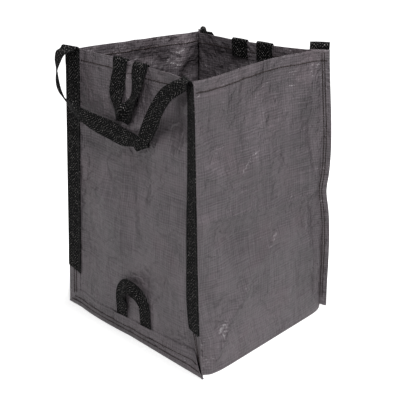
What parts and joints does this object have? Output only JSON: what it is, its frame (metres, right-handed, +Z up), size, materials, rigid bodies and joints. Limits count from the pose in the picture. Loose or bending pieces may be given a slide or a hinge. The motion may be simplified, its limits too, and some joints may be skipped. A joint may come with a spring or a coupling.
{
  "type": "garden waste bag",
  "caption": "Open-topped square garden waste bag of grey woven cloth, tapering to the rim, with corner straps that run on as long handles, short rim loops and a low emptying loop.",
  "frame": {"origin": "centre of the base, on the ground", "axes": "+Z up; -Y towards the front, the side with the low loop; +X to the bag's right as seen from the front"},
  "size_m": [0.53, 0.5801, 0.73],
  "materials": {
    "cloth": "semi-gloss coated woven polypropylene",
    "webbing": "matt black woven webbing",
    "thread": "matt dark brown thread"
  },
  "bodies": {
    "bag": {"wrap_panel": "cloth", "front_panel": "cloth", "rear_panel": "cloth", "front_left_strap": "webbing", "front_loop_left_tab": "webbing", "front_right_strap": "webbing", "front_loop_right_tab": "webbing", "rear_left_strap": "webbing", "rear_loop_left_tab": "webbing", "rear_right_strap": "webbing", "rear_loop_right_tab": "webbing", "base_loop_left_tail": "webbing", "base_loop_right_tail": "webbing", "front_left_seam_rows": "thread", "front_left_strap_rows": "thread", "front_right_seam_rows": "thread", "front_right_strap_rows": "thread", "front_hem_row": "thread", "front_base_rows": "thread", "rear_left_seam_rows": "thread", "rear_left_strap_rows": "thread", "rear_right_seam_rows": "thread", "rear_right_strap_rows": "thread", "rear_hem_row": "thread", "rear_base_rows": "thread", "left_hem_row": "thread", "right_hem_row": "thread"},
    "front_handle": {"front_handle": "webbing"},
    "rear_handle": {"rear_handle": "webbing"},
    "front_short_loop": {"front_short_loop": "webbing"},
    "rear_short_loop": {"rear_short_loop": "webbing"},
    "base_loop": {"base_loop": "webbing"}
  },
  "joints": [
    {"name": "front_handle_swing", "type": "hinge", "parent": "bag", "child": "front_handle", "pos_m": [0, -0.22889, 0.7303], "axis": [-1, 0, 0], "range_deg": [0, 175]},
    {"name": "rear_handle_swing", "type": "hinge", "parent": "bag", "child": "rear_handle", "pos_m": [0, 0.22889, 0.7303], "axis": [1, 0, 0], "range_deg": [0, 175]},
    {"name": "front_short_loop_swing", "type": "hinge", "parent": "bag", "child": "front_short_loop", "pos_m": [-0.006, -0.21241, 0.7203], "axis": [-1, 0, 0], "range_deg": [0, 175]},
    {"name": "rear_short_loop_swing", "type": "hinge", "parent": "bag", "child": "rear_short_loop", "pos_m": [0.005, 0.19888, 0.7203], "axis": [1, 0, 0], "range_deg": [0, 175]},
    {"name": "base_loop_swing", "type": "hinge", "parent": "bag", "child": "base_loop", "pos_m": [0.015, -0.25768, 0.05215], "axis": [1, 0, 0], "range_deg": [0, 90]}
  ]
}
